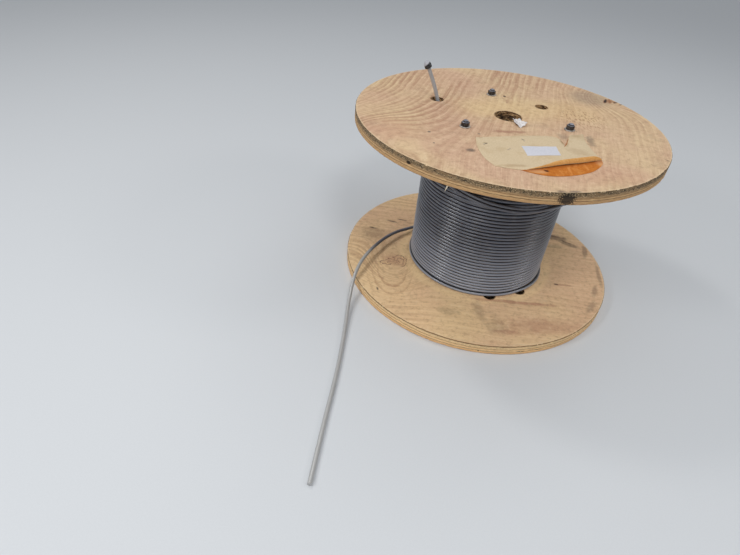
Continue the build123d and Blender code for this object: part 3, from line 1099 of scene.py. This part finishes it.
def kraft():
    """The pouch's cream paper, browner at its edges and round the tear."""
    finish, colour, height = paper_finish(
        "kraft_paper", (210, 190, 158), (198, 178, 146), (184, 160, 124), 0.85,
    )
    colour = soiled(finish, colour, [
        (0.085, -0.112, 0.008, 0.020, 0, 0.7), (0.116, -0.075, 0.012, 0.010, 0, 0.3),
        (-0.070, -0.115, 0.006, 0.012, 0, 0.35), (-0.030, -0.228, 0.030, 0.006, 8, 0.35),
        (0.100, -0.150, 0.025, 0.020, 0, 0.2),
    ], (140, 104, 66))
    mark = finish.spot(-0.064, -0.146, 0.006, 0.004, 40) + finish.spot(0.008, -0.118, 0.0016, 0.005, -60)
    colour = finish.mix(mark.between(0.3, 0.9) * 0.5, colour, (120, 104, 70))
    return finish.wear(colour, height=height, relief=0.12 * MM)


def orange_lining():
    """The pouch's orange inside, with painted shade along the crease and a dark spot painted for the shade in
    a small hole near the left of it.
    """
    finish, colour, height = paper_finish("orange_lining", (194, 118, 42), (176, 98, 30), (212, 146, 74))
    light = finish.stretched(finish.x * 70, finish.y * 18, 2, 3.0).between(0.5, 0.7)
    pale = finish.spot(0.133, -0.180, 0.014, 0.020) + finish.spot(0.010, -0.238, 0.020, 0.008)
    depth = (finish.x - 0.035) * CREASE_DIRECTION.y - (finish.y + 0.2185) * CREASE_DIRECTION.x
    colour = finish.coated(
        colour,
        (light * 0.5, (232, 164, 92)),
        (pale.between(0.2, 0.9) * 0.6, (216, 168, 120)),
        # Painted shade along the crease.
        (depth.between(0.012, 0.001) * 0.5, (140, 66, 18)),
    )
    # A dark spot painted for the shade in a small hole; no hole is cut.
    colour = soiled(finish, colour, [(0.0265, -0.2330, 0.0055, 0.0042, -20, 1.0)], (62, 22, 12))
    return finish.wear(colour, height=height, relief=0.1 * MM)


def plain_paper(name, low, high, stain=None):
    finish, colour, height = paper_finish(name, low, high, stain)
    return finish.wear(colour, height=height, relief=0.1 * MM)


def place_along(points, share):
    """The place at a share of a smooth line through points."""
    reach = min(max(share, 0), 1) * (len(points) - 1)
    index = min(int(reach), len(points) - 2)
    local = reach - index
    before, start, end, after = [
        Vector(points[min(max(index + step, 0), len(points) - 1)]) for step in (-1, 0, 1, 2)
    ]
    leaving, arriving = (end - before) * 0.5, (after - start) * 0.5
    first = 2 * local**3 - 3 * local**2 + 1
    leaving_share, arriving_share = local**3 - 2 * local**2 + local, local**3 - local**2
    return start * first + leaving * leaving_share + end * (1 - first) + arriving * arriving_share


def in_corners(corners, across, down):
    """A point of a flat sheet, from its two back corners and its two front ones."""
    back, front = [Vector(left).lerp(Vector(right), across) for left, right in (corners[:2], corners[2:])]
    return back.lerp(front, down)


def paper_height(x, y):
    """How high the pouch's front sheet stands over the top face: a soft swell and creases."""
    swell = 1.2 + 2.2 * bell(x - 0.06, 0.06) * bell(y + 0.175, 0.045)
    crease = rough(x * 26, y * 26, 0.4) + rough(x * 80, y * 80, 4) * 0.3
    return TOP_FACE + (swell + crease + 0.5) * MM


def pouch_front(across, down):
    """A point of the front sheet, from its back edge to the crease along its mouth."""
    back, crease = place_along(POUCH_BACK, across), place_along(POUCH_CREASE, across)
    left, right = place_along(POUCH_LEFT, down), place_along(POUCH_RIGHT, down)
    corners = (POUCH_BACK[0], POUCH_BACK[-1], POUCH_CREASE[0], POUCH_CREASE[-1])
    flat = back.lerp(crease, down) + left.lerp(right, across) - in_corners(corners, across, down)
    open_mouth = max(0, across - LIP_STARTS_AT) * 6
    from_rim = min(1, across / 0.08, (1 - across) / 0.08, down / 0.1, (1 - down) / 0.08 + open_mouth)
    lowest = TOP_FACE + PAPER_THICKNESS + 0.1 * MM
    return (*flat, lowest + (paper_height(*flat) - lowest) * math.sqrt(from_rim))


def pouch_lip(across, up):
    """A point of the front sheet's lip, which stands up from the crease and leans back."""
    x, y, z = pouch_front(LIP_STARTS_AT + (1 - LIP_STARTS_AT) * across, 1)
    rising = math.sin(math.pi / 2 * min(1, across / 0.62)) ** 1.6
    falling = 1 - 0.85 * max(0, (across - 0.85) / 0.15) ** 2
    rise = 0.3 * MM + LIP_HEIGHT * rising * falling * up
    lean = 0.42 * rise * (0.6 + 0.9 * up) + 0.5 * MM * math.sin(across * 19) * up
    return (x - CREASE_DIRECTION.y * lean, y + CREASE_DIRECTION.x * lean, z + rise * (1 - 0.14 * up * up))


def pouch_base(across, down):
    """A point of the back sheet where it reaches past the mouth, nearly flat on the face."""
    crease, lip = place_along(POUCH_CREASE[1:], across), place_along(POUCH_LIP, across)
    inside = crease + Vector((-CREASE_DIRECTION.y, CREASE_DIRECTION.x)) * 8 * MM
    flat = inside.lerp(lip, down)
    lifted = abs(noise.noise(Vector((*flat, 0)) * 55)) * 0.7 * MM * down + 0.8 * MM * (1 - down) ** 3
    return (*flat, TOP_FACE + 0.45 * MM + lifted)


def pouch(metal):
    """The paper pouch: its front sheet with the lip folded up, the back sheet under it, its
    bare label and the staples through it."""
    cream = kraft()
    lining = orange_lining()
    # The curled lip's lining is painted lighter than the lining under it: painted light on the lip's inner
    # side.
    curled = plain_paper("curled_lining", (216, 164, 100), (200, 142, 74), (226, 184, 126))
    front = grid_sheet("document_pouch_front", 120, 60, pouch_front, cream, lining)
    lip = grid_sheet("document_pouch_lip", 80, 12, pouch_lip, cream, curled)
    base = grid_sheet("document_pouch_back", 80, 14, pouch_base, lining)
    carried(thicken(front, PAPER_THICKNESS, inner=1), "kraft_paper", "document_pouch")
    carried(thicken(lip, PAPER_THICKNESS, inner=1, rim=1), "kraft_paper")
    carried(thicken(base, PAPER_THICKNESS), "kraft_paper")
    pouch_label()
    staples(metal)


def pouch_label():
    """The bare label on the pouch's front."""
    def place(across, down):
        flat = in_corners(LABEL_CORNERS, across, down)
        return (*flat, paper_height(*flat) + 0.25 * MM)

    white = plain_paper("white_label", (196, 196, 204), (206, 206, 212))
    carried(thicken(grid_sheet("pouch_label", 30, 16, place, white), LABEL_THICKNESS), "white_paper")


def staples(metal):
    """Wire staples through the pouch."""
    lines = []
    for x, y, turn in STAPLES:
        half = Vector(at(STAPLE_HALF_LENGTH, turn))
        ends = [Vector((x, y)) - half, Vector((x, y)) + half]
        tops = [(*end, paper_height(*end) + 0.5 * MM) for end in ends]
        legs = [(*end, TOP_FACE - 3 * MM) for end in ends]
        lines.append([legs[0], tops[0], tops[1], legs[1]])
    carried(tubes("pouch_staples", lines, STAPLE_WIRE_RADIUS, 8, metal), "dark_steel")


def scrap():
    """The torn and crumpled scrap of white paper beside the arbor hole."""
    def place(across, down):
        flat = in_corners(SCRAP_CORNERS, across, down)
        flat += Vector([rough(across * 8, down * 8, seed) * 1.8 * MM for seed in (2, 5)])
        fold = abs(down - 0.45 - 0.5 * (across - 0.5)) * 9
        crumple = rough(flat.x * 150, flat.y * 150, 1) * 2.6 - 1.6 * max(0, 1 - fold)
        curl = 4.0 * bell(across - 1, 0.35) * bell(down - 1, 0.4) + 3.2 * bell(across, 0.3) * bell(down, 0.4)
        return (*flat, TOP_FACE + max(0.3, 2.4 + crumple + curl) * MM)

    white = plain_paper("white_paper", (232, 228, 226), (196, 190, 188), (150, 140, 136))
    piece = thicken(grid_sheet("torn_scrap", 26, 32, place, white), SCRAP_THICKNESS)
    carried(piece, "white_paper", "paper_scrap")


def dress_barrel():
    """The fibre tube's own finish, on the frame's node."""
    finish = Finish("fibre_tube", roughness=0.85)
    lay = finish.stretched(finish.x * 20, finish.y * 20, finish.z * 160, 3.0)
    colour = finish.mix(lay.between(0.3, 0.7), (150, 118, 84), (118, 88, 60))
    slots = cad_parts["barrel"].data.materials
    slots.clear()
    slots.append(finish.wear(colour, height=lay, relief=0.2 * MM))


# Camera, light and floor

def photograph_camera():
    lens = bpy.data.cameras.new("photograph_camera")
    lens.lens, lens.sensor_width = CAMERA_LENS, SENSOR_WIDTH
    camera = bpy.data.objects.new("photograph_camera", lens)
    tilt = Matrix.Rotation(math.pi / 2 - CAMERA_TILT, 4, "X")
    roll = Matrix.Rotation(CAMERA_ROLL, 4, "Z")
    camera.matrix_world = Matrix.Translation(CAMERA_PLACE) @ tilt @ roll
    bpy.context.scene.collection.objects.link(camera)
    bpy.context.scene.camera = camera


def lamp(name, angle, reach, height, size, watts, tint=(1, 1, 1)):
    """A square lamp that looks at the drum from an angle in plan."""
    light = bpy.data.lights.new(name, "AREA")
    light.shape, light.size, light.energy, light.color = "SQUARE", size, watts, tint
    holder = bpy.data.objects.new(name, light)
    holder.location = (*at(reach, angle), height)
    aim = Vector((0, 0, 0.2)) - holder.location
    holder.rotation_euler = aim.to_track_quat("-Z", "Y").to_euler()
    bpy.context.scene.collection.objects.link(holder)


def studio():
    """A plain pale floor, a sky that is brighter overhead, and soft lamps round the drum."""
    scene = bpy.context.scene
    scene.view_settings.view_transform = "Standard"
    world = bpy.data.worlds.new("studio")
    world.use_nodes = True
    tree = world.node_tree
    sky = tree.nodes["Background"]
    sky.inputs["Color"].default_value = (0.93, 0.96, 1.0, 1)
    direction = new_node(tree, "ShaderNodeTexCoord", {}, "Generated")
    overhead = new_node(tree, "ShaderNodeSeparateXYZ", {0: direction}, 2).between(0.45, 0.85)
    feed(tree, sky.inputs["Strength"], overhead * (SKY_OVERHEAD - SKY_AROUND) + SKY_AROUND)
    scene.world = world
    lamp("lamp_back_left", 148, 1.9, 2.5, 0.45, 14, WARM)
    lamp("lamp_front_left", -152, 2.3, 1.6, 0.5, 16)
    lamp("lamp_front", -84, 1.6, 2.4, 0.6, 15)
    lamp("lamp_low_front", -112, 2.2, 0.9, 0.6, 5)
    lamp("lamp_right", -10, 2.2, 1.7, 0.5, 9, WARM)
    lamp("lamp_back_right", 55, 2.0, 2.2, 0.9, 5)
    shape = bmesh.new()
    bmesh.ops.create_grid(shape, x_segments=1, y_segments=1, size=6)
    finish = Finish("pale_floor", roughness=0.55)
    floor = finish.wear(finish.mix(finish.noise(400.0), (206, 209, 212), (200, 203, 206)))
    shape_to_piece("floor", shape, floor)


photograph_camera()
cables()
both_flanges()
pouch(hardware())
scrap()
dress_barrel()
studio()
